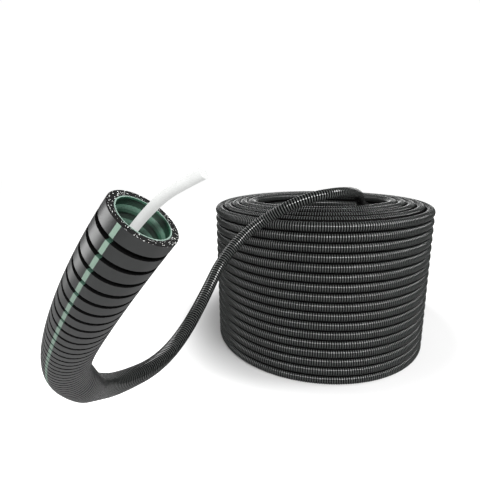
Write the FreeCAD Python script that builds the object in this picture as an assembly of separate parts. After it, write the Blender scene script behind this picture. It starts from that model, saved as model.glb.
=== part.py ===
import FreeCAD, Part
import math
import os
from FreeCAD import Rotation, Vector

# Corrugated conduit, a full coil with its free end, in millimetres
# The coil's axis is +Z, it stands on z = 0, and the free end lies toward -X -Y

# Conduit section
CONDUIT_DIAMETER = 25.0
WALL_INNER_DIAMETER = 19.9
LINER_GAP = 0.15
LINER_THICKNESS = 0.55
WAVE_PITCH = 6.0
GROOVE_WIDTH = 1.6
GROOVE_FLOOR_WIDTH = 1.2
GROOVE_DEPTH = 1.2
END_WAVES = 34
LINER_HOLLOW_WIDTH = 3.2
LINER_HOLLOW_FLOOR_WIDTH = 2.4
LINER_HOLLOW_DEPTH = 0.3
LINER_WAVES = 16

# Coil
ROWS = 17
LAYERS = 5
COIL_OUTER_DIAMETER = 645.0
CROWN_PER_LAYER = (0.0, 5.0, 9.0, 12.0, 13.0)
GAP_HALF_ANGLE = 30.0
REST_WIDTH = 6.0

# Free end, from the stub that leaves the coil's inner wall to the mouth
FREE_ROUTE = [
    (-78.0, 166.0, 291.0),
    (-16.0, 177.0, 300.0),
    (95.0, 158.0, 325.0),
    (152.0, 84.0, 362.0),
    (144.0, -14.0, 405.0),
    (90.0, -114.0, 439.0),
    (55.0, -201.0, 476.0),
    (-17.0, -297.0, 492.0),
    (-114.0, -324.0, 480.0),
    (-218.0, -301.0, 417.0),
    (-288.0, -354.0, 359.0),
    (-324.0, -440.0, 301.0),
    (-353.0, -539.0, 272.0),
    (-375.0, -650.0, 283.0),
    (-395.0, -759.0, 329.0),
    (-389.0, -835.0, 380.0),
    (-363.0, -903.0, 431.0),
    (-350.0, -949.0, 476.0),
    (-297.5, -1014.5, 548.5),
    (-278.5, -1019.5, 571.0),
]

# Pull line: plain draw tube that lies on the liner and comes out of the mouth
PULL_LINE_DIAMETER = 3.3
PULL_LINE_ROUTE = [
    (-307.8, -997.3, 533.3),
    (-297.6, -1007.5, 549.5),
    (-284.9, -1011.8, 565.8),
    (-272.0, -1024.0, 577.6),
    (-263.6, -1029.4, 582.3),
    (-258.6, -1031.5, 584.7),
]

ARC_SHARE = 0.45

RADIUS = CONDUIT_DIAMETER / 2
OUTER_TURN_RADIUS = COIL_OUTER_DIAMETER / 2 - RADIUS
REST_DROP = RADIUS - math.sqrt(RADIUS ** 2 - (REST_WIDTH / 2) ** 2)
REST_HALF_ANGLE = math.degrees(math.asin(REST_WIDTH / CONDUIT_DIAMETER))
LINER_OUTER_RADIUS = WALL_INNER_DIAMETER / 2 - LINER_GAP


def turn_centre(layer, row):
    """Place of one turn's centre in the coil's section: radius and height."""
    height = RADIUS - REST_DROP + CONDUIT_DIAMETER * row
    if row == ROWS - 1:
        height += CROWN_PER_LAYER[layer]
    return OUTER_TURN_RADIUS - CONDUIT_DIAMETER * layer, height


def section_point(centre, degrees):
    angle = math.radians(degrees)
    return Vector(centre[0] + RADIUS * math.cos(angle), 0, centre[1] + RADIUS * math.sin(angle))


def turn_arc(centre, start, end):
    points = [section_point(centre, angle) for angle in (start, (start + end) / 2, end)]
    return Part.Arc(*points).toShape()


def rim_arcs():
    """Round faces of the outermost turns, once round the coil's section."""
    gap = GAP_HALF_ANGLE
    arcs = []
    for row in range(1, ROWS - 1):
        arcs.append(turn_arc(turn_centre(0, row), gap - 90, 90 - gap))
    arcs.append(turn_arc(turn_centre(0, ROWS - 1), gap - 90, 180 - gap))
    for layer in range(1, LAYERS - 1):
        arcs.append(turn_arc(turn_centre(layer, ROWS - 1), gap, 180 - gap))
    arcs.append(turn_arc(turn_centre(LAYERS - 1, ROWS - 1), gap, 270 - gap))
    for row in range(ROWS - 2, 0, -1):
        arcs.append(turn_arc(turn_centre(LAYERS - 1, row), 90 + gap, 270 - gap))
    for layer in range(LAYERS - 1, -1, -1):
        centre = turn_centre(layer, 0)
        start = 90 + gap if layer == LAYERS - 1 else 180 + gap
        end = 450 - gap if layer == 0 else 360 - gap
        arcs.append(turn_arc(centre, start, 270 - REST_HALF_ANGLE))
        arcs.append(turn_arc(centre, 270 + REST_HALF_ANGLE, end))
    return arcs


def close_with_lines(arcs):
    """Join each arc to the next with a short straight edge."""
    edges = []
    for arc, following in zip(arcs, arcs[1:] + arcs[:1]):
        edges.append(arc)
        edges.append(Part.makeLine(arc.Vertexes[-1].Point, following.Vertexes[0].Point))
    return Part.Wire(edges)


def rounded_path(route):
    """Straight runs joined by tangent arcs, with the arcs' radii."""
    points = [Vector(*point) for point in route]
    edges = []
    radii = []
    start = points[0]
    for before, corner, after in zip(points, points[1:], points[2:]):
        run_in = corner - before
        run_out = after - corner
        turn = run_in.getAngle(run_out)
        leg = ARC_SHARE * min(run_in.Length, run_out.Length)
        radii.append(leg / math.tan(turn / 2))
        run_in.normalize()
        run_out.normalize()
        arc_start = corner - run_in * leg
        arc_end = corner + run_out * leg
        toward_middle = run_out - run_in
        toward_middle.normalize()
        bulge = radii[-1] * (1 / math.cos(turn / 2) - 1)
        edges.append(Part.LineSegment(start, arc_start).toShape())
        edges.append(Part.Arc(arc_start, corner + toward_middle * bulge, arc_end).toShape())
        start = arc_end
    edges.append(Part.LineSegment(start, points[-1]).toShape())
    return Part.Wire(edges), radii


def tube(path, radius):
    """Solid round bar of one radius along a path."""
    first = path.Edges[0]
    start = first.valueAt(first.FirstParameter)
    direction = first.tangentAt(first.FirstParameter)
    section = Part.Wire(Part.makeCircle(radius, start, direction))
    return path.makePipeShell([section], True, False)


def hollow_tube(path, outer_radius, inner_radius):
    return tube(path, outer_radius).cut(tube(path, inner_radius))


def point_from_end(path, distance):
    """Point and direction on a path, at a distance back from its end."""
    left = distance
    for edge in reversed(path.Edges):
        if left <= edge.Length:
            parameter = edge.getParameterByLength(edge.Length - left)
            return edge.valueAt(parameter), edge.tangentAt(parameter)
        left -= edge.Length
    raise ValueError("the distance is longer than the path")


def ring_cutter(inner_radius, inner_width, outer_radius, outer_width):
    """Ring with a tapered section, about +Z and centred on the origin."""
    corners = [
        Vector(inner_radius, 0, -inner_width / 2),
        Vector(outer_radius, 0, -outer_width / 2),
        Vector(outer_radius, 0, outer_width / 2),
        Vector(inner_radius, 0, inner_width / 2),
    ]
    face = Part.Face(Part.makePolygon(corners + corners[:1]))
    return face.revolve(Vector(0, 0, 0), Vector(0, 0, 1), 360)


def rings_along(path, cutter, count, first):
    """One cutter at each wave, counted back from the mouth."""
    rings = []
    for wave in range(count):
        point, direction = point_from_end(path, first + wave * WAVE_PITCH)
        ring = cutter.copy()
        ring.Placement = FreeCAD.Placement(point, Rotation(Vector(0, 0, 1), direction))
        rings.append(ring)
    return Part.makeCompound(rings)


def distance_to_radius(point, direction, radius):
    """Length of a line from a point in the coil's eye out to a radius about its axis."""
    a = direction.x ** 2 + direction.y ** 2
    b = point.x * direction.x + point.y * direction.y
    c = point.x ** 2 + point.y ** 2 - radius ** 2
    return (math.sqrt(b ** 2 - a * c) - b) / a


def leaving_stub():
    """Straight end of the last wound turn, from inside the turns to where the free end starts."""
    end = Vector(*FREE_ROUTE[0])
    back = end - Vector(*FREE_ROUTE[1])
    back.normalize()
    inner_layer_outside = turn_centre(LAYERS - 1, 0)[0] + RADIUS
    length = distance_to_radius(end, back, inner_layer_outside)
    return Part.makeCylinder(RADIUS, length, end, back)


def conduit_coil():
    """All wound turns as one turned body, with the stub that leaves its inner wall."""
    profile = Part.Face(close_with_lines(rim_arcs()))
    turns = profile.revolve(Vector(0, 0, 0), Vector(0, 0, 1), 360)
    return turns.fuse(leaving_stub()).removeSplitter()


def free_end_wall(path):
    """Black outer wall, with its waves along the stretch nearest the mouth."""
    taper = (GROOVE_WIDTH - GROOVE_FLOOR_WIDTH) * 2
    groove = ring_cutter(RADIUS - GROOVE_DEPTH, GROOVE_FLOOR_WIDTH,
                         RADIUS + GROOVE_DEPTH, GROOVE_FLOOR_WIDTH + taper)
    grooves = rings_along(path, groove, END_WAVES, WAVE_PITCH - GROOVE_WIDTH / 2)
    return hollow_tube(path, RADIUS, WALL_INNER_DIAMETER / 2).cut(grooves)


def free_end_liner(path):
    """Thin green liner, hollowed under each crest of the wall near the mouth."""
    inner_radius = LINER_OUTER_RADIUS - LINER_THICKNESS
    taper = LINER_HOLLOW_WIDTH - LINER_HOLLOW_FLOOR_WIDTH
    hollow = ring_cutter(inner_radius - LINER_HOLLOW_DEPTH, LINER_HOLLOW_WIDTH + taper,
                         inner_radius + LINER_HOLLOW_DEPTH, LINER_HOLLOW_FLOOR_WIDTH)
    hollows = rings_along(path, hollow, LINER_WAVES, (WAVE_PITCH - GROOVE_WIDTH) / 2)
    return hollow_tube(path, LINER_OUTER_RADIUS, inner_radius).cut(hollows)


def report(name, shape):
    box = shape.BoundBox
    print(name, "valid", shape.isValid(), "solids", len(shape.Solids), "volume", round(shape.Volume))
    print("  x", round(box.XMin, 1), round(box.XMax, 1), "y", round(box.YMin, 1), round(box.YMax, 1),
          "z", round(box.ZMin, 1), round(box.ZMax, 1))


def main():
    os.makedirs("parts", exist_ok=True)
    free_path, free_radii = rounded_path(FREE_ROUTE)
    line_path, line_radii = rounded_path(PULL_LINE_ROUTE)
    nodes = {
        "conduit_coil": conduit_coil(),
        "free_end_wall": free_end_wall(free_path),
        "free_end_liner": free_end_liner(free_path),
        "pull_line": tube(line_path, PULL_LINE_DIAMETER / 2),
    }
    for name, shape in nodes.items():
        report(name, shape)
        shape.exportStep(os.path.join("parts", name + ".step"))
    print("free end", round(free_path.Length, 1), "radii", [round(r) for r in free_radii])
    print("pull line", round(line_path.Length, 1), "radii", [round(r, 1) for r in line_radii])
    plain = math.pi * RADIUS ** 2 * free_path.Length
    print("free end volume over section times length", round(tube(free_path, RADIUS).Volume / plain, 4))
    plain = math.pi * (PULL_LINE_DIAMETER / 2) ** 2 * line_path.Length
    print("pull line volume over section times length", round(nodes["pull_line"].Volume / plain, 4))


main()
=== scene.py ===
import math

import bmesh
import bpy
import numpy as np
from bpy.props import FloatProperty, FloatVectorProperty, IntProperty, PointerProperty
from mathutils import Matrix, Vector


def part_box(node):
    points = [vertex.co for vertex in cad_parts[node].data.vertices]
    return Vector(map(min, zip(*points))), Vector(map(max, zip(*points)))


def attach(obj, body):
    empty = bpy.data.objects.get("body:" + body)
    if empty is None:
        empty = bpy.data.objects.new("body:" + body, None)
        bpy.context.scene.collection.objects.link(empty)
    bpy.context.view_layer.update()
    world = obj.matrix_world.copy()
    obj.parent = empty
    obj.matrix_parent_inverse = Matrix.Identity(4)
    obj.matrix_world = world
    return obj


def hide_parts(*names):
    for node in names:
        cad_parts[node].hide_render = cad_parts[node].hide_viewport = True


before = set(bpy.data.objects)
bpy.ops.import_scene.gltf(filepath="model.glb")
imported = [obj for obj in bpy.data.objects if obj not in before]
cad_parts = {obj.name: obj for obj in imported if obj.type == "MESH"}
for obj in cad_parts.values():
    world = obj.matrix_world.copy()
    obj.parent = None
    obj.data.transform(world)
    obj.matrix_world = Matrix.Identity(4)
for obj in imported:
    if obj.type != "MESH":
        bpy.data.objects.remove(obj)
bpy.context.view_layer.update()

bl_info = {
    "name": "Corrugated conduit",
    "version": (1, 0, 0),
    "blender": (4, 5, 0),
    "location": "3D View > Sidebar > Conduit",
    "description": "A full coil of corrugated conduit with its free end, liner and pull line",
    "category": "Add Mesh",
}

# The coil's box from the frame, and the routes that part.py holds, in metres
COIL_LOW, COIL_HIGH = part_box("conduit_coil")
FREE_ROUTE = [
    (-0.078, 0.166, 0.291),
    (-0.016, 0.177, 0.300),
    (0.095, 0.158, 0.325),
    (0.152, 0.084, 0.362),
    (0.144, -0.014, 0.405),
    (0.090, -0.114, 0.439),
    (0.055, -0.201, 0.476),
    (-0.017, -0.297, 0.492),
    (-0.114, -0.324, 0.480),
    (-0.218, -0.301, 0.417),
    (-0.288, -0.354, 0.359),
    (-0.324, -0.440, 0.301),
    (-0.353, -0.539, 0.272),
    (-0.375, -0.650, 0.283),
    (-0.395, -0.759, 0.329),
    (-0.389, -0.835, 0.380),
    (-0.363, -0.903, 0.431),
    (-0.350, -0.949, 0.476),
    (-0.2975, -1.0145, 0.5485),
    (-0.2785, -1.0195, 0.5710),
]
PULL_LINE_ROUTE = [
    (-0.3078, -0.9973, 0.5333),
    (-0.2976, -1.0075, 0.5495),
    (-0.2849, -1.0118, 0.5658),
    (-0.2720, -1.0240, 0.5776),
    (-0.2636, -1.0294, 0.5823),
    (-0.2586, -1.0315, 0.5847),
]

# The side of the conduit that the green stripe is on at the mouth
STRIPE_SIDE = Vector((-0.39, -0.92, -0.07))

# How the turns lie, in metres: each layer's rise and forward tilt at the top, the rows over which
# both grow, and how far the lowest turns are flattened where they rest
CROWN_PER_LAYER = (0.0, 0.005, 0.009, 0.012, 0.013)
TILT_PER_LAYER = (-0.001, 0.002, 0.004, 0.006, 0.007)
CROWN_ROWS = 4
REST_DROP = 0.000365

# Degrees of a turn's section: how far its face stops short of the next row and the next layer,
# and how far from there the painted shade of the cleft reaches
ROW_GAP = 2
LAYER_GAP = 6
CLEFT_ANGLE = 28

# Part of a wave by which each row and each layer starts further round
ROW_SHIFT = 0.37
LAYER_SHIFT = 0.61

# Waves of the wall: the two distances from the mouth between which the crests narrow, in metres,
# how deep a wound crest's shoulders lie, and the part of a groove that its sloping sides take
CREST_TAPER = (0.204, 0.42)
CREST_SHOULDER = 0.3
GROOVE_SIDES = 0.25

# Waves of the liner near the mouth: places in one pitch, and the depth of each in metres
LINER_WAVES = 16
LINER_PLACES = (0.0, 0.10, 0.167, 0.567, 0.634, 0.86)
LINER_DEPTHS = (0.0, 0.0, 0.0003, 0.0003, 0.0, 0.0)

# The liner's gap to the wall, how much its rim widens, and how far it stops before the coil
LINER_CLEARANCE = 0.00005
LINER_RIM_WIDENING = 0.0002
LINER_SETBACK = 0.001

# Rounded ends of the pull line, as parts of its radius
PULL_LINE_EDGE = 0.12
PULL_LINE_TIP = 0.5

# How finely round forms are divided
TURN_SEGMENTS = 8
FREE_END_SEGMENTS = 48
PULL_LINE_SEGMENTS = 24
PULL_LINE_STEPS = 60
LINER_STEPS = 60
HIDDEN_SEGMENTS = 96
ROUTE_RESOLUTION = 48

# Along Y, where the free end's tone goes over into that of the wound turns: painted shade going over into
# painted light
NEAR_TONE_END = -0.93
WOUND_TONE_START = -0.75

# The photograph's camera, fitted to the coil's rows and silhouette: metres, turns from straight down
# and about its own axis, and millimetres for the lens and the sensor
CAMERA_PLACE = (-0.2495, -1.1289, 0.5907)
CAMERA_PITCH = math.radians(90 - 14.03)
CAMERA_ROLL = math.radians(-1.15)
CAMERA_LENS = 27.32
CAMERA_SENSOR = 36.0
CAMERA_CLIP_START = 0.01

# Soft lamps: name, place, target, width, height and power, in metres and watts
LAMPS = (
    ("front_lamp", (0.35, -2.25, 1.60), (0.0, -0.2, 0.25), 3.2, 0.45, 98.0),
    ("key_lamp", (2.1, -0.5, 1.9), (0.0, -0.1, 0.2), 0.8, 0.8, 36.0),
    ("back_lamp", (0.2, 2.3, 1.0), (0.0, 0.0, 0.4), 4.0, 1.0, 30.0),
    ("left_lamp", (-1.9, -0.85, 0.85), (-0.3, -1.0, 0.5), 1.0, 1.2, 16.5),
    ("tail_lamp", (-1.1, 0.2, 1.3), (-0.35, -0.55, 0.28), 0.6, 0.6, 5.0),
)

# Floor: its half width, its grey to the camera and its darker grey to other light, and the camera's
# white on top: a halo away from the coil, leaving painted shade round it, and painted light to the front
# right
FLOOR_REACH = 6.0
FLOOR_SEEN = (0.44, 0.44, 0.44)
FLOOR_UNSEEN = (0.30, 0.30, 0.30)
HALO_CENTRE = (0.05, 0.06, 0.0)
HALO_START = 0.38
HALO_END = 0.62
HALO_WHITE = 0.95
FRONT_RIGHT = (0.8, -0.6, 0.0)
FRONT_START = -0.25
FRONT_END = 0.35
FRONT_WHITE = 0.41

# World: its fill light on the object, and the white that the camera sees on top of it
WORLD_FILL = 0.10
WORLD_SEEN = 0.91


class ConduitSizes(bpy.types.PropertyGroup):
    """Sizes of the conduit and of its coil."""

    conduit_diameter: FloatProperty(
        name="Conduit diameter", description="Outside diameter over the crests",
        default=0.025, min=0.01, unit="LENGTH")
    wave_pitch: FloatProperty(
        name="Wave pitch", description="From one crest to the next",
        default=0.0060, min=0.002, unit="LENGTH")
    crest_share: FloatProperty(
        name="Crest share", description="Part of the pitch that the crest takes",
        default=0.73, min=0.3, max=0.85, subtype="FACTOR")
    wound_crest_share: FloatProperty(
        name="Wound crest share", description="The same on the wound turns, where crests are rounder",
        default=0.38, min=0.3, max=0.85, subtype="FACTOR")
    groove_depth: FloatProperty(
        name="Groove depth", description="From the crest down to the groove's floor",
        default=0.0012, min=0.0002, unit="LENGTH")
    wall_inner_diameter: FloatProperty(
        name="Wall inner diameter", description="Inside diameter of the dark outer wall",
        default=0.0199, min=0.005, unit="LENGTH")
    liner_inner_diameter: FloatProperty(
        name="Liner inner diameter", description="Inside diameter of the green liner",
        default=0.0185, min=0.005, unit="LENGTH")
    pull_line_diameter: FloatProperty(
        name="Pull line diameter", description="Outside diameter of the pull line",
        default=0.0033, min=0.001, unit="LENGTH")
    coil_diameter: FloatProperty(
        name="Coil diameter", description="Outside diameter of the coil",
        default=COIL_HIGH[0] - COIL_LOW[0], min=0.2, unit="LENGTH")
    rows: IntProperty(name="Rows", description="Turns from the floor to the top", default=17, min=3)
    layers: IntProperty(name="Layers", description="Turns from the outside to the eye", default=5, min=2)


class ConduitColours(bpy.types.PropertyGroup):
    """Colours of the conduit's finishes."""

    # Painted shade and light: crest and wound crest are one plastic, painted darker on the free end and
    # lighter on the wound turns
    crest: FloatVectorProperty(
        name="Crest", description="Dark grey of the crests", subtype="COLOR",
        default=(0.011, 0.012, 0.012))
    wound_crest_painted_light: FloatVectorProperty(
        name="Wound crest", description="Grey of the narrow crowns on the wound turns", subtype="COLOR",
        default=(0.054, 0.058, 0.056))
    # Painted shade: the grooves are the same plastic as the crests, painted near black for the shade in
    # them
    groove: FloatVectorProperty(
        name="Groove", description="Near black of the grooves", subtype="COLOR",
        default=(0.001, 0.001, 0.001))
    stripe: FloatVectorProperty(
        name="Stripe", description="Pale green line along the crests", subtype="COLOR",
        default=(0.180, 0.256, 0.208))
    # Painted shade: the stripe's green painted darker where it runs down the grooves
    stripe_painted_shade: FloatVectorProperty(
        name="Stripe in a groove", description="The same line down in the grooves", subtype="COLOR",
        default=(0.012, 0.045, 0.028))
    liner: FloatVectorProperty(
        name="Liner", description="Green of the inner liner", subtype="COLOR",
        default=(0.017, 0.064, 0.038))
    # Painted light: the liner's ridges painted a paler green; its hollows take a darker copy, painted
    # shade
    liner_ridge_painted_light: FloatVectorProperty(
        name="Liner ridge", description="Paler green of the liner's inner ridges", subtype="COLOR",
        default=(0.060, 0.120, 0.088))
    liner_rim: FloatVectorProperty(
        name="Liner rim", description="Pale cut edge of the liner", subtype="COLOR",
        default=(0.18, 0.25, 0.215))
    pull_line: FloatVectorProperty(
        name="Pull line", description="Milky white of the pull line", subtype="COLOR",
        default=(0.78, 0.79, 0.78))


class Number:
    """A node's output that takes part in Python arithmetic by adding Math nodes."""

    def __init__(self, nodes, socket):
        self.nodes = nodes
        self.socket = socket

    def maths(self, operation, first, second):
        return self.nodes.node("ShaderNodeMath", {"operation": operation}, {0: first, 1: second})

    def __add__(self, other):
        return self.maths("ADD", self, other)

    __radd__ = __add__

    def __sub__(self, other):
        return self.maths("SUBTRACT", self, other)

    def __rsub__(self, other):
        return self.maths("SUBTRACT", other, self)

    def __mul__(self, other):
        return self.maths("MULTIPLY", self, other)

    __rmul__ = __mul__

    def __gt__(self, other):
        return self.maths("GREATER_THAN", self, other)

    def __lt__(self, other):
        return self.maths("LESS_THAN", self, other)


class NodeTree:
    """The node tree of a material or of the world, to which nodes are added."""

    def __init__(self, owner):
        owner.use_nodes = True
        self.tree = owner.node_tree

    def put(self, socket, value):
        """Link a node's output to a socket, or set the socket to a value."""
        if isinstance(value, Number):
            self.tree.links.new(value.socket, socket)
        elif socket.type == "RGBA" and len(value) == 3:
            socket.default_value = (*value, 1.0)
        else:
            socket.default_value = value

    def node(self, kind, settings, sockets, output=0):
        """A node of one type: its settings come first, then its sockets."""
        node = self.tree.nodes.new(kind)
        for name, value in settings.items():
            setattr(node, name, value)
        for name, value in sockets.items():
            self.put(node.inputs[name], value)
        return Number(self, node.outputs[output])

    def mix(self, factor, first, second):
        """Colour that goes from first to second."""
        return self.node("ShaderNodeMix", {"data_type": "RGBA"}, {0: factor, 6: first, 7: second}, 2)

    def smooth_rise(self, value, start, end, height=1.0):
        """Number that rises smoothly from 0 at the start to a height at the end."""
        sockets = {"Value": value, "From Min": start, "From Max": end, "To Min": 0.0, "To Max": height}
        return self.node("ShaderNodeMapRange", {"interpolation_type": "SMOOTHSTEP"}, sockets)

    def seen(self):
        """1 for what the camera sees itself, and 0 for all other light."""
        return self.node("ShaderNodeLightPath", {}, {}, "Is Camera Ray")

    def place(self):
        """Object coordinates, in metres."""
        return self.node("ShaderNodeTexCoord", {}, {}, "Object")

    def noise(self, scale, detail=2.0):
        """Cloudy number between 0 and 1. The scale is the number of clouds to a metre."""
        sockets = {"Vector": self.place(), "Scale": scale, "Detail": detail}
        return self.node("ShaderNodeTexNoise", {}, sockets, "Fac")

    def bump(self, height, strength, distance):
        """Surface direction of a fine relief, whose full depth is the distance in metres."""
        sockets = {"Height": height, "Strength": strength, "Distance": distance}
        return self.node("ShaderNodeBump", {}, sockets)


class Shader(NodeTree):
    """One material, with its Principled shader."""

    def __init__(self, name):
        self.material = bpy.data.materials.new(name)
        super().__init__(self.material)
        self.tree.nodes.clear()
        output = self.tree.nodes.new("ShaderNodeOutputMaterial")
        self.surface = self.tree.nodes.new("ShaderNodeBsdfPrincipled")
        self.tree.links.new(self.surface.outputs[0], output.inputs["Surface"])

    def set(self, **values):
        """Sockets of the Principled shader, with underscores for spaces."""
        for name, value in values.items():
            self.put(self.surface.inputs[name.replace("_", " ")], value)
        return self.material


def shade(colour, factor):
    """A darker or paler tone of a colour."""
    return tuple(channel * factor for channel in colour)


def crest_finish(colours):
    """Moulded black plastic, faintly mottled, that shines more on the wound turns' narrow crowns, and is
    painted darker on the free end and lighter on the wound turns: painted shade and light.
    """
    shader = Shader("wall_crest")
    handling = shader.noise(9.0, 4.0)
    grain = shader.noise(1800.0, 2.0)
    along = shader.node("ShaderNodeSeparateXYZ", {}, {0: shader.place()}, "Y")
    # Painted shade and light: the crests' grey goes from dark on the free end to light on the wound turns
    wound = shader.smooth_rise(along, NEAR_TONE_END, WOUND_TONE_START)
    tone = shader.mix(wound, colours.crest, colours.wound_crest_painted_light)
    mottle = 0.76 + handling * 0.36 + grain * 0.12
    return shader.set(
        Base_Color=shader.node("ShaderNodeVectorMath", {"operation": "SCALE"}, {0: tone, "Scale": mottle}),
        Roughness=0.34 + handling * 0.10 - wound * 0.22,
        Normal=shader.bump(grain, 0.12, 0.00005),
        Specular_IOR_Level=0.9,
    )


def painted_shade_finish(colours):
    """The same wall down in its grooves, painted near black: painted shade where no light reaches."""
    shader = Shader("wall_groove_painted_shade")
    dust = shader.noise(240.0)
    colour = shader.mix(dust, shade(colours.groove, 0.6), shade(colours.groove, 1.6))
    return shader.set(Base_Color=colour, Roughness=0.75, Specular_IOR_Level=0.05)


def stripe_finish(colours):
    """Pale green line that runs along the crests."""
    shader = Shader("stripe_crest")
    grain = shader.noise(900.0)
    colour = shader.mix(grain, shade(colours.stripe, 0.85), shade(colours.stripe, 1.1))
    return shader.set(Base_Color=colour, Roughness=0.45)


def stripe_painted_shade_finish(colours):
    """The green line down in the grooves, painted darker green: painted shade."""
    shader = Shader("stripe_painted_shade")
    dust = shader.noise(240.0)
    dim = shade(colours.stripe_painted_shade, 0.7)
    return shader.set(Base_Color=shader.mix(dust, dim, shade(colours.stripe_painted_shade, 1.3)), Roughness=0.7)


def cut_face_finish(colours):
    """Sawn face of the wall: black, with pale specks of torn plastic."""
    shader = Shader("cut_face")
    place = shader.place()
    sockets = {"Vector": place, "Scale": 1850.0, "Randomness": 1.0}
    distance = shader.node("ShaderNodeTexVoronoi", {}, sockets, "Distance")
    patches = shader.noise(700.0, 3.0)
    specks = (distance < 0.27) * (patches > 0.50)
    colour = shader.mix(specks, (0.008, 0.008, 0.008), (0.75, 0.77, 0.75))
    return shader.set(
        Base_Color=colour,
        Roughness=0.7,
        Normal=shader.bump(distance, 0.3, 0.0001),
        Specular_IOR_Level=0.08,
    )


def liner_finish(name, colour):
    """Green liner, smooth inside."""
    shader = Shader(name)
    cloud = shader.noise(160.0)
    mottle = shader.mix(cloud, shade(colour, 0.85), shade(colour, 1.15))
    return shader.set(Base_Color=mottle, Roughness=0.28 + cloud * 0.08)


def liner_rim_finish(colours):
    """Cut edge of the liner, where the green goes pale."""
    shader = Shader("liner_rim")
    tear = shader.noise(1500.0)
    colour = shader.mix(tear, shade(colours.liner_rim, 0.85), shade(colours.liner_rim, 1.15))
    return shader.set(Base_Color=colour, Roughness=0.45)


def pull_line_finish(colours):
    """Milky white plastic: a faint glow stands in for the light that it lets through."""
    shader = Shader("pull_line_white")
    cloud = shader.noise(350.0)
    return shader.set(
        Base_Color=shader.mix(cloud, shade(colours.pull_line, 0.25), shade(colours.pull_line, 0.29)),
        Roughness=0.5,
        Specular_IOR_Level=0.2,
        Emission_Color=shader.mix(cloud, shade(colours.pull_line, 0.94), shade(colours.pull_line, 1.04)),
        Emission_Strength=0.68,
    )


class Quads:
    """Grids of four-sided faces, gathered into one mesh."""

    def __init__(self):
        self.points = []
        self.faces = []
        self.finishes = []
        self.count = 0

    def add(self, grid, finishes, loop_rows=False, loop_columns=False, flip=False):
        """Add a grid of points, rows by columns, with one finish number for each face."""
        rows, columns = grid.shape[:2]
        index = np.arange(rows * columns).reshape(rows, columns) + self.count
        if loop_rows:
            index = np.concatenate([index, index[:1]], axis=0)
        if loop_columns:
            index = np.concatenate([index, index[:, :1]], axis=1)
        corners = [index[:-1, :-1], index[1:, :-1], index[1:, 1:], index[:-1, 1:]]
        if flip:
            corners.reverse()
        quads = np.stack(corners, axis=-1)
        self.points.append(grid.reshape(-1, 3))
        self.faces.append(quads.reshape(-1, 4))
        self.finishes.append(np.broadcast_to(finishes, quads.shape[:2]).reshape(-1))
        self.count += rows * columns

    def build(self, name, materials, sharp_degrees=35.0):
        """One object from the gathered grids, shaded smooth but for its sharper edges."""
        points = np.concatenate(self.points).astype(np.float32)
        faces = np.concatenate(self.faces).astype(np.int32)
        finishes = np.concatenate(self.finishes).astype(np.int32)
        mesh = bpy.data.meshes.new(name)
        mesh.vertices.add(len(points))
        mesh.vertices.foreach_set("co", points.ravel())
        mesh.loops.add(faces.size)
        mesh.loops.foreach_set("vertex_index", faces.ravel())
        mesh.polygons.add(len(faces))
        mesh.polygons.foreach_set("loop_start", np.arange(0, faces.size, 4, dtype=np.int32))
        mesh.polygons.foreach_set("material_index", finishes)
        mesh.update(calc_edges=True)
        mesh.validate()
        for material in materials:
            mesh.materials.append(material)
        mesh.shade_smooth()
        mesh.set_sharp_from_angle(angle=math.radians(sharp_degrees))
        piece = bpy.data.objects.new(name, mesh)
        bpy.context.scene.collection.objects.link(piece)
        return piece


def fill_ends(mesh):
    """Close a tube's two open ends with flat faces."""
    work = bmesh.new()
    work.from_mesh(mesh)
    bmesh.ops.holes_fill(work, edges=work.edges, sides=0)
    work.to_mesh(mesh)
    work.free()


# Finish numbers of the wall; the grooves' near black and the stripe's darker green in them are painted
# shade
CREST, PAINTED_SHADE, STRIPE, STRIPE_PAINTED_SHADE, CUT_FACE = range(5)
LINER, LINER_RIM, LINER_PAINTED_LIGHT, LINER_PAINTED_SHADE = range(4)


def wall_materials(colours):
    """The wall's finishes, in the order of their numbers."""
    makers = {
        "wall_crest": crest_finish,
        "wall_groove_painted_shade": painted_shade_finish,
        "stripe_crest": stripe_finish,
        "stripe_painted_shade": stripe_painted_shade_finish,
        "cut_face": cut_face_finish,
    }
    return [bpy.data.materials.get(name) or maker(colours) for name, maker in makers.items()]


def round_wave(sizes):
    """One wave of the wound turns, with a rounded crest: places, depths and finishes."""
    share = sizes.wound_crest_share
    places = np.array([0.0, share / 2, share, (1 + share) / 2])
    depths = np.array([CREST_SHOULDER, 0.0, CREST_SHOULDER, 1.0]) * sizes.groove_depth
    return places, depths, np.array([CREST, CREST, PAINTED_SHADE, PAINTED_SHADE])


def tapering_waves(sizes, count, from_mouth):
    """Waves with flat crests, counted back along a line: places, depths and finishes.

    The crests narrow towards the coil, by how far from the mouth the line ends.
    """
    number = np.arange(count)[:, None]
    shares = (sizes.crest_share, sizes.wound_crest_share)
    share = np.interp(from_mouth + number * sizes.wave_pitch, CREST_TAPER, shares)
    side = GROOVE_SIDES * (1 - share) / 2
    places = np.concatenate([np.zeros_like(share), share, share + side, 1 - side], axis=1) + number
    depths = np.tile([0.0, 0.0, sizes.groove_depth, sizes.groove_depth], count)
    kinds = np.tile([CREST, PAINTED_SHADE, PAINTED_SHADE, PAINTED_SHADE], count)
    return (places * sizes.wave_pitch).reshape(-1), depths, kinds


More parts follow.
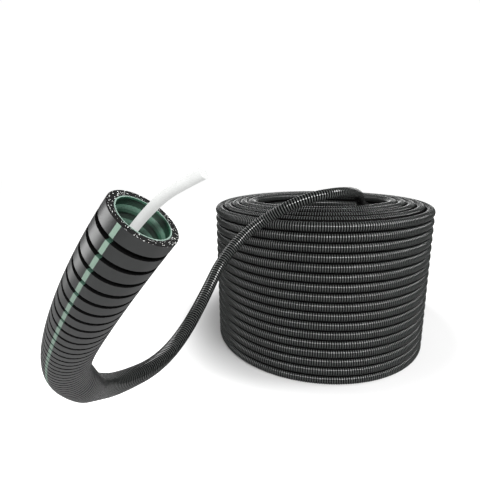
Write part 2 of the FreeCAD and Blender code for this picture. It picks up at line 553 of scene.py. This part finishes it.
def turn_grid(sizes, centre_radius, height, start, end, shift, tilt):
    """Outer face of one turn with its waves, between two angles of the conduit's section.

    Near its neighbours the face takes the grooves' near black: painted shade for the cleft that no light
    reaches.
    """
    places, depths, finishes = round_wave(sizes)
    waves = round(math.tau * centre_radius / sizes.wave_pitch)
    azimuth = ((np.arange(waves)[:, None] + places + shift) * math.tau / waves).reshape(-1, 1)
    radius = (sizes.conduit_diameter / 2 - np.tile(depths, waves))[:, None]
    segments = max(2, round(TURN_SEGMENTS * (end - start) / 180))
    open_face = np.linspace(start + CLEFT_ANGLE, end - CLEFT_ANGLE, segments - 1)
    angle = np.radians([start, *open_face, end])
    out = centre_radius + radius * np.cos(angle)
    up = np.maximum(height - tilt * np.sin(azimuth) + radius * np.sin(angle), 0.0)
    grid = np.stack([out * np.cos(azimuth), out * np.sin(azimuth), up], axis=-1)
    kinds = np.tile(finishes[:, None], (waves, segments))
    # Painted shade: the face's first and last bands, in the clefts, take the grooves' near black
    kinds[:, [0, -1]] = PAINTED_SHADE
    return grid, kinds


def turn_centre(sizes, layer, row):
    """Place of one turn's centre in the coil's section, radius and height, and its tilt.

    The inner layers stand higher and lean forward at the top, spread over the last rows.
    """
    diameter = sizes.conduit_diameter
    lift = max(0.0, 1 - (sizes.rows - 1 - row) / CROWN_ROWS)
    height = diameter / 2 - REST_DROP + diameter * row + CROWN_PER_LAYER[layer] * lift
    return sizes.coil_diameter / 2 - diameter * (layer + 0.5), height, TILT_PER_LAYER[layer] * lift


def turns_piece(name, sizes, materials, turns):
    """One piece from turns given as (layer, row, start, end)."""
    quads = Quads()
    for layer, row, start, end in turns:
        radius, height, tilt = turn_centre(sizes, layer, row)
        shift = (row * ROW_SHIFT + layer * LAYER_SHIFT) % 1.0
        grid, finishes = turn_grid(sizes, radius, height, start, end, shift, tilt)
        quads.add(grid, finishes, loop_rows=True)
    piece = quads.build(name, materials, sharp_degrees=180.0)
    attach(piece, "root")
    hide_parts("conduit_coil")


def route_points(name, route):
    """Points along the smooth line of a route, read from its NURBS spline."""
    curve = bpy.data.curves.new(name, "CURVE")
    curve.dimensions = "3D"
    curve.resolution_u = ROUTE_RESOLUTION
    spline = curve.splines.new("NURBS")
    spline.points.add(len(route) - 1)
    for point, place in zip(spline.points, route):
        point.co = (*place, 1.0)
    spline.order_u = 3
    spline.use_endpoint_u = True
    holder = bpy.data.objects.new(name, curve)
    mesh = bpy.data.meshes.new_from_object(holder)
    points = np.array([vertex.co[:] for vertex in mesh.vertices])
    bpy.data.meshes.remove(mesh)
    bpy.data.objects.remove(holder)
    bpy.data.curves.remove(curve)
    return points


class Line:
    """A smooth line with its length and a frame that doesn't twist along it."""

    def __init__(self, points, side):
        """side is the direction of angle 0 at the line's last point."""
        steps = np.linalg.norm(np.diff(points, axis=0), axis=1)
        self.points = points
        self.reach = np.concatenate([[0.0], np.cumsum(steps)])
        self.length = self.reach[-1]
        tangents = np.gradient(points, self.reach, axis=0)
        self.tangents = tangents / np.linalg.norm(tangents, axis=1)[:, None]
        self.sides = np.empty_like(points)
        current = np.array(side)
        for index in range(len(points) - 1, -1, -1):
            tangent = self.tangents[index]
            current = current - tangent * (current @ tangent)
            current = current / np.linalg.norm(current)
            self.sides[index] = current

    def read(self, values, reach):
        """Values of the line's points, read off at places between them."""
        return np.stack([np.interp(reach, self.reach, values[:, axis]) for axis in range(3)], axis=-1)

    def rings(self, reach, radius, segments, turn=0.0):
        """Grid of points: one ring of the given radius at each reach."""
        centres = self.read(self.points, reach)
        tangents = self.read(self.tangents, reach)
        tangents /= np.linalg.norm(tangents, axis=1)[:, None]
        sides = self.read(self.sides, reach)
        sides -= tangents * (sides * tangents).sum(axis=1)[:, None]
        sides /= np.linalg.norm(sides, axis=1)[:, None]
        across = np.cross(tangents, sides)
        angle = (np.arange(segments) + turn) * math.tau / segments
        radius = np.broadcast_to(radius, reach.shape)[:, None, None]
        spokes = sides[:, None] * np.cos(angle)[:, None] + across[:, None] * np.sin(angle)[:, None]
        return centres[:, None] + radius * spokes


def corrugated_tube(quads, line, sizes, mouth_finish, from_mouth=0.0):
    """Closed corrugated wall along a line, with its waves counted back from the line's end."""
    waves = int(line.length / sizes.wave_pitch)
    back, depths, kinds = tapering_waves(sizes, waves, from_mouth)
    outer = sizes.conduit_diameter / 2 - depths
    inner_back = np.linspace(back[-1], 0.0, waves)
    inner = np.full(waves, sizes.wall_inner_diameter / 2)
    reach = line.length - np.concatenate([back, inner_back])
    grid = line.rings(reach, np.concatenate([outer, inner]), FREE_END_SEGMENTS, -0.5)
    kinds = np.concatenate([kinds, np.full(waves, PAINTED_SHADE)])
    kinds[-1] = mouth_finish
    around = np.tile(kinds[:, None], (1, FREE_END_SEGMENTS))
    # The stripe on the crests, and painted shade on it in the grooves
    crests = around[:len(back), 0] == CREST
    around[:len(back), 0] = np.where(crests, STRIPE, STRIPE_PAINTED_SHADE)
    quads.add(grid, around, loop_rows=True, loop_columns=True)


class CONDUIT_OT_wound_turns(bpy.types.Operator):
    """Build the coil's wound turns, with their waves"""

    bl_idname = "conduit.wound_turns"
    bl_label = "Wound turns"

    def execute(self, context):
        sizes = context.scene.conduit_sizes
        materials = wall_materials(context.scene.conduit_colours)
        top = sizes.rows - 1
        inmost = sizes.layers - 1
        third = top // 3
        outer = [(0, row, ROW_GAP - 90, 90 - ROW_GAP) for row in range(1, top)]
        turns_piece("outer_turns_low", sizes, materials, outer[:third])
        turns_piece("outer_turns_middle", sizes, materials, outer[third:2 * third])
        turns_piece("outer_turns_high", sizes, materials, outer[2 * third:])
        ends = [(0, top, ROW_GAP - 90, 180 - LAYER_GAP)]
        ends += [(layer, top, LAYER_GAP, 180 - LAYER_GAP) for layer in range(1, inmost)]
        ends += [(inmost, top, LAYER_GAP, 270 - ROW_GAP)]
        turns_piece("top_turns", sizes, materials, ends)
        eye = [(inmost, row, 90 + ROW_GAP, 270 - ROW_GAP) for row in range(1, top)]
        turns_piece("eye_turns_low", sizes, materials, eye[:top // 2])
        turns_piece("eye_turns_high", sizes, materials, eye[top // 2:])
        bottom = [(0, 0, 180 + LAYER_GAP, 450 - ROW_GAP)]
        bottom += [(layer, 0, 180 + LAYER_GAP, 360 - LAYER_GAP) for layer in range(1, inmost)]
        bottom += [(inmost, 0, 90 + ROW_GAP, 360 - LAYER_GAP)]
        turns_piece("bottom_turns", sizes, materials, bottom)
        self.hidden_turns(sizes, materials)
        self.leaving_turn(sizes, materials)
        return {"FINISHED"}

    def hidden_turns(self, sizes, materials):
        """One plain ring for the turns behind the outer ones, in the grooves' near black: painted shade.
        """
        out, low = turn_centre(sizes, 0, 0)[:2]
        inward = turn_centre(sizes, sizes.layers - 1, 0)[0]
        high = turn_centre(sizes, 0, sizes.rows - 1)[1]
        corners = np.array([(out, low), (out, high), (inward, high), (inward, low)])
        azimuth = np.linspace(0, math.tau, HIDDEN_SEGMENTS, endpoint=False)[:, None]
        radius = corners[:, 0]
        height = np.broadcast_to(corners[:, 1], (HIDDEN_SEGMENTS, len(corners)))
        grid = np.stack([radius * np.cos(azimuth), radius * np.sin(azimuth), height], axis=-1)
        quads = Quads()
        quads.add(grid, PAINTED_SHADE, loop_rows=True, loop_columns=True)
        piece = quads.build("hidden_turns", materials)
        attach(piece, "root")
        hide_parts("conduit_coil")

    def leaving_turn(self, sizes, materials):
        """Short end of the last wound turn, up to where the free end starts."""
        end = Vector(FREE_ROUTE[0])
        back = (end - Vector(FREE_ROUTE[1])).normalized()
        wall = sizes.coil_diameter / 2 - sizes.conduit_diameter * (sizes.layers - 1)
        flat_end = end.xy
        flat_back = back.xy
        half = flat_end.dot(flat_back)
        square = flat_back.dot(flat_back)
        rest = flat_end.dot(flat_end) - wall ** 2
        length = (math.sqrt(half ** 2 - square * rest) - half) / square
        points = np.array([end + back * length, end + back * length / 2, end])
        line = Line(points, STRIPE_SIDE)
        quads = Quads()
        corrugated_tube(quads, line, sizes, PAINTED_SHADE, CREST_TAPER[1])
        piece = quads.build("leaving_turn", materials)
        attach(piece, "root")
        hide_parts("conduit_coil")


class CONDUIT_OT_free_end(bpy.types.Operator):
    """Build the free end's corrugated wall and its green liner"""

    bl_idname = "conduit.free_end"
    bl_label = "Free end and liner"

    def execute(self, context):
        sizes = context.scene.conduit_sizes
        colours = context.scene.conduit_colours
        line = Line(route_points("free_route", FREE_ROUTE), STRIPE_SIDE)
        liner = self.liner(line, sizes, colours)
        quads = Quads()
        corrugated_tube(quads, line, sizes, CUT_FACE)
        wall = quads.build("free_end_conduit", wall_materials(colours))
        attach(wall, "root")
        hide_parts("free_end_wall")
        return {"FINISHED"}

    def liner(self, line, sizes, colours):
        """Thin green liner with a hollow under each crest near the mouth, painted paler on its ridges and
        darker in its hollows: painted light and shade.
        """
        outside = sizes.wall_inner_diameter / 2 - LINER_CLEARANCE
        inside = sizes.liner_inner_diameter / 2
        pitch = sizes.wave_pitch
        waved = ((np.arange(LINER_WAVES)[:, None] + LINER_PLACES) * pitch).reshape(-1)
        smooth = np.linspace(LINER_WAVES * pitch, line.length - LINER_SETBACK, LINER_STEPS)
        inner_back = np.concatenate([waved, smooth])
        inner = np.full(len(inner_back), inside)
        inner[:len(waved)] += np.tile(LINER_DEPTHS, LINER_WAVES)
        inner[0] += LINER_RIM_WIDENING
        outer_back = np.concatenate([smooth[::-1], waved[::-len(LINER_PLACES)], [0.0]])
        outer = np.full(len(outer_back), outside)
        reach = line.length - np.concatenate([inner_back, outer_back])
        grid = line.rings(reach, np.concatenate([inner, outer]), FREE_END_SEGMENTS)
        # Painted light on the ridges, painted shade in the hollows
        one_wave = [LINER, LINER_PAINTED_SHADE, LINER_PAINTED_SHADE, LINER_PAINTED_LIGHT, LINER_PAINTED_LIGHT, LINER]
        kinds = np.full(len(reach), LINER)
        kinds[:len(waved)] = np.tile(one_wave, LINER_WAVES)
        kinds[-1] = LINER_RIM
        quads = Quads()
        quads.add(grid, kinds[:, None], loop_rows=True, loop_columns=True, flip=True)
        materials = [
            liner_finish("liner_inside", colours.liner),
            liner_rim_finish(colours),
            liner_finish("liner_ridge_painted_light", colours.liner_ridge_painted_light),
            liner_finish("liner_hollow_painted_shade", shade(colours.liner, 0.35)),
        ]
        piece = quads.build("free_end_green_liner", materials, sharp_degrees=60.0)
        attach(piece, "root")
        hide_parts("free_end_liner")
        return piece


class CONDUIT_OT_pull_line(bpy.types.Operator):
    """Build the white pull line that comes out of the mouth"""

    bl_idname = "conduit.pull_line"
    bl_label = "Pull line"

    def execute(self, context):
        sizes = context.scene.conduit_sizes
        line = Line(route_points("pull_route", PULL_LINE_ROUTE), STRIPE_SIDE)
        radius = sizes.pull_line_diameter / 2
        edge = radius * PULL_LINE_EDGE
        steps = np.linspace(edge, line.length - edge, PULL_LINE_STEPS)
        reach = np.concatenate([[0.0, 0.0], steps, [line.length, line.length]])
        ends = [radius * PULL_LINE_TIP, radius - edge]
        radii = np.concatenate([ends, np.full(len(steps), radius), ends[::-1]])
        grid = line.rings(reach, radii, PULL_LINE_SEGMENTS)
        quads = Quads()
        quads.add(grid, 0, loop_columns=True, flip=True)
        piece = quads.build("white_pull_line", [pull_line_finish(context.scene.conduit_colours)])
        fill_ends(piece.data)
        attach(piece, "root")
        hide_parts("pull_line")
        return {"FINISHED"}


def soft_lamp(name, place, target, width, height, power):
    """Rectangular soft lamp that points at a target."""
    lamp = bpy.data.lights.new(name, "AREA")
    lamp.shape = "RECTANGLE"
    lamp.size = width
    lamp.size_y = height
    lamp.energy = power
    holder = bpy.data.objects.new(name, lamp)
    holder.location = place
    direction = Vector(target) - Vector(place)
    holder.rotation_euler = direction.to_track_quat("-Z", "Y").to_euler()
    bpy.context.scene.collection.objects.link(holder)


class CONDUIT_OT_stage(bpy.types.Operator):
    """Build the camera, the white floor and the soft lamps"""

    bl_idname = "conduit.stage"
    bl_label = "Stage"

    def execute(self, context):
        self.camera(context.scene)
        self.floor()
        self.world(context.scene)
        for lamp in LAMPS:
            soft_lamp(*lamp)
        return {"FINISHED"}

    def camera(self, scene):
        """Camera where the photograph was taken from."""
        camera = bpy.data.cameras.new("camera")
        camera.lens = CAMERA_LENS
        camera.sensor_width = CAMERA_SENSOR
        camera.clip_start = CAMERA_CLIP_START
        holder = bpy.data.objects.new("camera", camera)
        turn = Matrix.Rotation(CAMERA_PITCH, 4, "X") @ Matrix.Rotation(CAMERA_ROLL, 4, "Z")
        holder.matrix_world = Matrix.Translation(CAMERA_PLACE) @ turn
        scene.collection.objects.link(holder)
        scene.camera = holder

    def floor(self):
        """Pale floor that the camera sees as white, with the lamps' shadows on it, painted shade round the
        coil and painted light to the front right.
        """
        side = (-FLOOR_REACH, FLOOR_REACH)
        grid = np.array([[(x, y, 0.0) for x in side] for y in side])
        quads = Quads()
        quads.add(grid, 0, flip=True)
        shader = Shader("floor_white")
        seen = shader.seen()
        place = shader.place()
        away = shader.node(
            "ShaderNodeVectorMath", {"operation": "DISTANCE"}, {0: place, 1: HALO_CENTRE}, "Value")
        forward = shader.node(
            "ShaderNodeVectorMath", {"operation": "DOT_PRODUCT"}, {0: place, 1: FRONT_RIGHT}, "Value")
        halo = shader.smooth_rise(away, HALO_START, HALO_END, HALO_WHITE)
        front = shader.smooth_rise(forward, FRONT_START, FRONT_END, FRONT_WHITE)
        # Painted light: the camera's white, weak near the coil so that painted shade lies round it
        glow = (halo + front) * seen
        shader.set(
            Base_Color=shader.mix(seen, FLOOR_UNSEEN, FLOOR_SEEN),
            Roughness=0.9,
            Specular_IOR_Level=0.0,
            Emission_Color=shader.mix(glow, (0.0, 0.0, 0.0), (1.0, 1.0, 1.0)),
            Emission_Strength=1.0,
        )
        quads.build("floor", [shader.material])

    def world(self, scene):
        """White to the camera, and a plain fill light to the object."""
        world = bpy.data.worlds.new("studio")
        nodes = NodeTree(world)
        background = nodes.tree.nodes["Background"]
        nodes.put(background.inputs["Color"], (1.0, 1.0, 1.0))
        nodes.put(background.inputs["Strength"], nodes.seen() * WORLD_SEEN + WORLD_FILL)
        scene.world = world
        scene.view_settings.view_transform = "Standard"


class CONDUIT_PT_panel(bpy.types.Panel):
    """Panel that lists the sizes, the colours and the operators"""

    bl_idname = "CONDUIT_PT_panel"
    bl_label = "Corrugated conduit"
    bl_space_type = "VIEW_3D"
    bl_region_type = "UI"
    bl_category = "Conduit"

    def draw(self, context):
        for group in (context.scene.conduit_sizes, context.scene.conduit_colours):
            for name in group.__annotations__:
                self.layout.prop(group, name)
        for operator in OPERATORS:
            self.layout.operator(operator.bl_idname)


OPERATORS = (
    CONDUIT_OT_stage,
    CONDUIT_OT_free_end,
    CONDUIT_OT_pull_line,
    CONDUIT_OT_wound_turns,
)
CLASSES = (ConduitSizes, ConduitColours, *OPERATORS, CONDUIT_PT_panel)


def register():
    for item in CLASSES:
        bpy.utils.register_class(item)
    bpy.types.Scene.conduit_sizes = PointerProperty(type=ConduitSizes)
    bpy.types.Scene.conduit_colours = PointerProperty(type=ConduitColours)


def unregister():
    del bpy.types.Scene.conduit_colours
    del bpy.types.Scene.conduit_sizes
    for item in reversed(CLASSES):
        bpy.utils.unregister_class(item)


def main():
    register()
    bpy.ops.conduit.stage()
    bpy.ops.conduit.free_end()
    bpy.ops.conduit.pull_line()
    bpy.ops.conduit.wound_turns()


if __name__ == "__main__":
    main()
